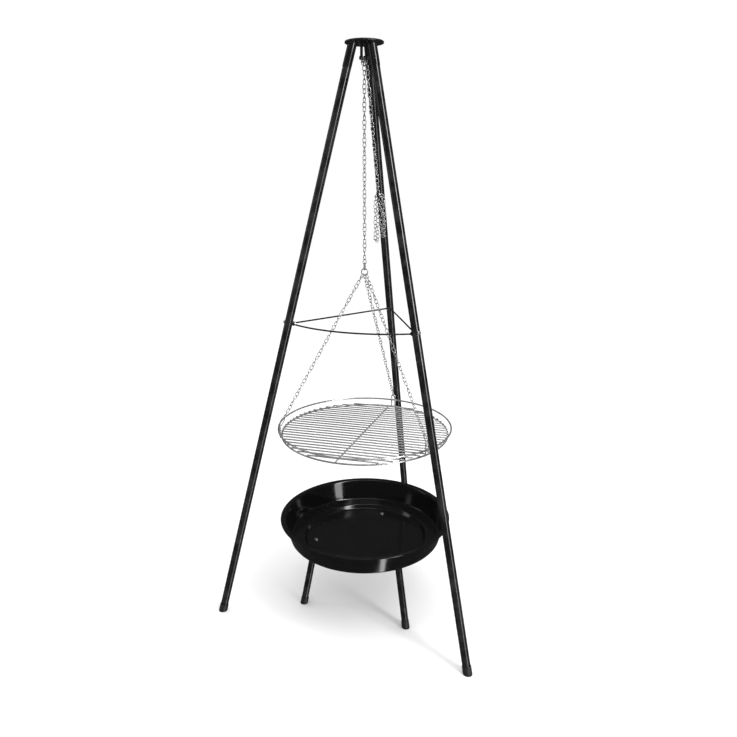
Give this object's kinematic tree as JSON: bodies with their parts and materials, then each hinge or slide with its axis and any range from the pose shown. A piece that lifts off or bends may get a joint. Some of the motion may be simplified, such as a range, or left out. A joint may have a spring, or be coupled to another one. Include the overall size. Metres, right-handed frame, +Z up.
{
  "type": "campfire tripod grate",
  "caption": "Tube-legged campfire tripod with brace rods, a round wire cooking grate hung on chains below its top plate, and a round dished fire bowl on short legs.",
  "frame": {"origin": "on the floor, under the middle of the whole set's bounding box; the tripod's own axis stands 97 mm behind it at -Y", "axes": "+Z up; +Y towards the rear leg, away from the side between the two front legs; +X to the right as seen from the front"},
  "size_m": [0.7768, 0.6986, 1.582],
  "materials": {
    "black_enamel": "gloss",
    "bowl_enamel": "gloss",
    "bright_chain": "bright",
    "grate_wire": "bright",
    "zinc_hardware": "satin",
    "black_plastic": "matte"
  },
  "bodies": {
    "tripod": {"top_plate": "black_enamel", "hanger_strap": "black_enamel", "hanger_pin": "zinc_hardware", "hanger_pin_nut": "zinc_hardware", "leg_socket_rear": "black_enamel", "leg_rear": "black_enamel", "foot_cap_rear": "black_plastic", "leg_socket_left": "black_enamel", "leg_left": "black_enamel", "foot_cap_left": "black_plastic", "leg_socket_right": "black_enamel", "leg_right": "black_enamel", "foot_cap_right": "black_plastic", "brace_rod_front": "black_enamel", "brace_rod_right": "black_enamel", "brace_rod_left": "black_enamel", "brace_screw_rear": "zinc_hardware", "brace_nut_rear": "zinc_hardware", "brace_screw_left": "zinc_hardware", "brace_nut_left": "zinc_hardware", "brace_screw_right": "zinc_hardware", "brace_nut_right": "zinc_hardware", "chain_hook": "black_enamel", "tail_chain": "bright_chain", "chain_hank": "bright_chain"},
    "pin_link": {"pin_link": "bright_chain"},
    "hanging_chain": {"main_chain": "bright_chain"},
    "junction": {"junction_link": "bright_chain"},
    "grate": {"junction_ring": "bright_chain", "branch_chain_rear": "bright_chain", "branch_chain_left": "bright_chain", "branch_chain_right": "bright_chain", "end_link_rear": "bright_chain", "end_link_left": "bright_chain", "end_link_right": "bright_chain", "grate_ring_upper": "grate_wire", "grate_ring_lower": "grate_wire", "grate_bars": "grate_wire", "grate_crossbar": "grate_wire", "grate_hanger_rear": "grate_wire", "grate_hanger_left": "grate_wire", "grate_hanger_right": "grate_wire"},
    "fire_bowl": {"bowl_shell": "bowl_enamel", "bowl_leg_rear": "black_enamel", "bowl_screw_rear": "zinc_hardware", "bowl_foot_cap_rear": "black_plastic", "bowl_leg_left": "black_enamel", "bowl_screw_left": "zinc_hardware", "bowl_foot_cap_left": "black_plastic", "bowl_leg_right": "black_enamel", "bowl_screw_right": "zinc_hardware", "bowl_foot_cap_right": "black_plastic"}
  },
  "joints": [
    {"name": "swing_fore_aft", "type": "hinge", "parent": "tripod", "child": "pin_link", "pos_m": [0, -0.09732, 1.545], "axis": [1, 0, 0], "range_deg": [-1, 1]},
    {"name": "swing_sideways", "type": "hinge", "parent": "pin_link", "child": "hanging_chain", "pos_m": [0, -0.09732, 1.53555], "axis": [0, 1, 0], "range_deg": [-1, 1]},
    {"name": "chain_height", "type": "slide", "parent": "hanging_chain", "child": "junction", "axis": [0, 0, 1], "range_m": [-0.214, 0], "deforming": ["main_chain"]},
    {"name": "grate_spin", "type": "hinge", "parent": "junction", "child": "grate", "pos_m": [0, -0.09732, 1.0114], "axis": [0, 0, 1], "range_deg": [-30, 30]},
    {"name": "bowl_slide", "type": "slide", "parent": "tripod", "child": "fire_bowl", "axis": [0, -1, 0], "range_m": [0, 0.6]}
  ]
}
